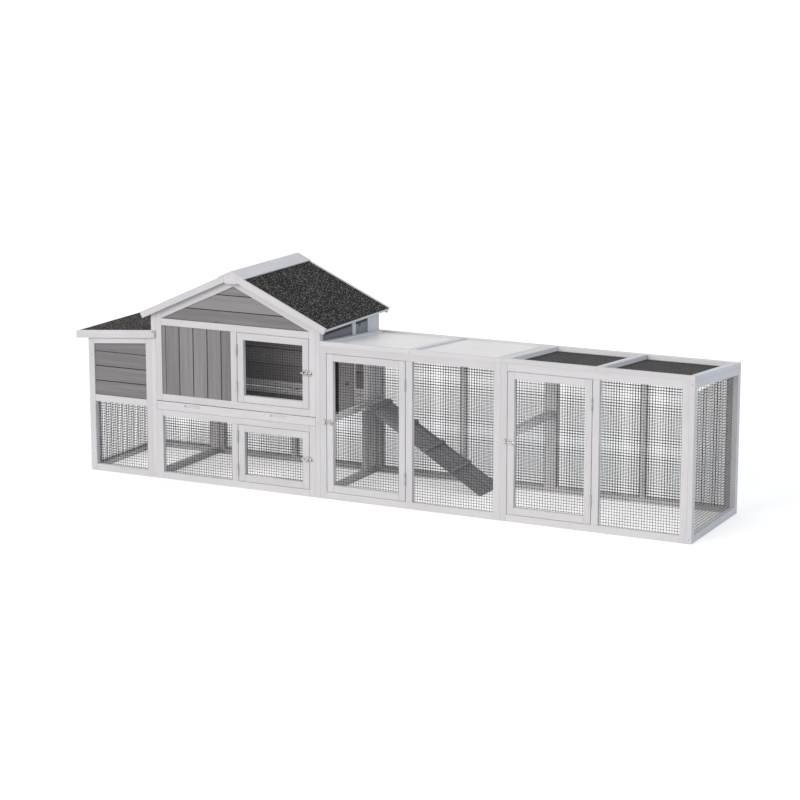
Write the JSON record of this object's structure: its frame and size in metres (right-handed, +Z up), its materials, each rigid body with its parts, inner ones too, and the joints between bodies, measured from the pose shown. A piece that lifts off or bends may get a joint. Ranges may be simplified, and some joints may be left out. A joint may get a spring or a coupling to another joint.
{
  "type": "chicken coop with run",
  "caption": "Gabled timber hen house with a nest box, a pull-out tray, a pop door and ramp, and a long mesh run with latched doors.",
  "frame": {"origin": "middle of the base, on the ground", "axes": "+X along the coop from the nest box to the far end of the run, +Y from the front to the back, +Z up"},
  "size_m": [2.8828, 0.599, 0.95],
  "materials": {
    "white_timber": "white-painted softwood, silky",
    "grey_planks": "grey-stained softwood boards, matt, grain showing",
    "roof_felt": "mineral-surfaced roofing felt, matt, speckled",
    "wire_mesh": "black-coated welded wire, semi-gloss",
    "light_sheet": "pale translucent sheet, satin",
    "fittings": "nickel-plated steel, bright",
    "ramp_timber": "dark grey stained softwood, matt",
    "tray_sheet": "dark grey sheet, matt"
  },
  "bodies": {
    "coop": {"house_front_frame": "white_timber", "house_back_frame": "white_timber", "house_left_frame": "white_timber", "house_right_frame": "white_timber", "house_front_planks": "grey_planks", "house_back_planks": "grey_planks", "gable_planks": "grey_planks", "house_right_planks": "grey_planks", "house_left_planks": "grey_planks", "rafters": "white_timber", "roof_boards": "white_timber", "roof_felts": "roof_felt", "ridge_cap": "white_timber", "bargeboards": "white_timber", "house_mesh": "wire_mesh", "tray_runners": "white_timber", "nest_front_frame": "white_timber", "nest_back_frame": "white_timber", "nest_left_frame": "white_timber", "nest_planks": "grey_planks", "nest_mesh": "wire_mesh", "nest_floor": "white_timber", "nest_lid_pins": "fittings", "run_front_frame": "white_timber", "run_back_frame": "white_timber", "run_end_posts": "white_timber", "run_end_rails": "white_timber", "run_top_frame": "white_timber", "run_top_sheets": "light_sheet", "run_top_mesh": "wire_mesh", "run_front_mesh": "wire_mesh", "run_back_mesh": "wire_mesh", "run_end_mesh": "wire_mesh", "perch": "white_timber", "landing": "white_timber", "fixed_fittings": "fittings", "frame_screws": "fittings"},
    "tray": {"tray_frame": "white_timber", "tray_floor": "tray_sheet"},
    "nest_lid": {"nest_lid_board": "white_timber", "nest_lid_felt": "roof_felt", "nest_lid_fascia": "white_timber"},
    "ramp_board": {"ramp": "ramp_timber"},
    "pop_panel": {"pop_door": "grey_planks"},
    "upper_door": {"upper_door_frame": "white_timber", "upper_door_mesh": "wire_mesh", "upper_door_fittings": "fittings"},
    "upper_door_bolt_rod": {"upper_door_bolt": "fittings"},
    "lower_door": {"lower_door_frame": "white_timber", "lower_door_mesh": "wire_mesh", "lower_door_fittings": "fittings"},
    "lower_door_bolt_rod": {"lower_door_bolt": "fittings"},
    "run_door_left": {"run_door_left_frame": "white_timber", "run_door_left_mesh": "wire_mesh", "run_door_left_fittings": "fittings"},
    "run_door_left_bolt_rod": {"run_door_left_bolt": "fittings"},
    "run_door_right": {"run_door_right_frame": "white_timber", "run_door_right_mesh": "wire_mesh", "run_door_right_fittings": "fittings"},
    "run_door_right_bolt_rod": {"run_door_right_bolt": "fittings"}
  },
  "joints": [
    {"name": "upper_door_hinge", "type": "hinge", "parent": "coop", "child": "upper_door", "pos_m": [-0.6302, -0.2791, 0.5325], "axis": [0, 0, -1], "range_deg": [0, 110]},
    {"name": "upper_door_bolt_slide", "type": "slide", "parent": "upper_door", "child": "upper_door_bolt_rod", "axis": [1, 0, 0], "range_m": [0, 0.01]},
    {"name": "lower_door_hinge", "type": "hinge", "parent": "coop", "child": "lower_door", "pos_m": [-0.6302, -0.2791, 0.1565], "axis": [0, 0, -1], "range_deg": [0, 110]},
    {"name": "lower_door_bolt_slide", "type": "slide", "parent": "lower_door", "child": "lower_door_bolt_rod", "axis": [1, 0, 0], "range_m": [0, 0.01]},
    {"name": "run_door_left_hinge", "type": "hinge", "parent": "coop", "child": "run_door_left", "pos_m": [0.1754, -0.2791, 0.33], "axis": [0, 0, 1], "range_deg": [0, 110]},
    {"name": "run_door_left_bolt_slide", "type": "slide", "parent": "run_door_left", "child": "run_door_left_bolt_rod", "axis": [-1, 0, 0], "range_m": [0, 0.01]},
    {"name": "run_door_right_hinge", "type": "hinge", "parent": "coop", "child": "run_door_right", "pos_m": [1.0098, -0.2791, 0.33], "axis": [0, 0, 1], "range_deg": [0, 110]},
    {"name": "run_door_right_bolt_slide", "type": "slide", "parent": "run_door_right", "child": "run_door_right_bolt_rod", "axis": [-1, 0, 0], "range_m": [0, 0.01]},
    {"name": "tray_slide", "type": "slide", "parent": "coop", "child": "tray", "axis": [0, -1, 0], "range_m": [0, 0.38]},
    {"name": "nest_lid_hinge", "type": "hinge", "parent": "coop", "child": "nest_lid", "pos_m": [-1.0494, 0, 0.655], "axis": [0, 1, 0], "range_deg": [0, 45]},
    {"name": "ramp_hinge", "type": "hinge", "parent": "coop", "child": "ramp_board", "pos_m": [-0.1654, 0.1475, 0.331], "axis": [0, -1, 0], "range_deg": [0, 50]},
    {"name": "pop_door_slide", "type": "slide", "parent": "coop", "child": "pop_panel", "axis": [0, 1, 0], "range_m": [0, 0.168]}
  ]
}
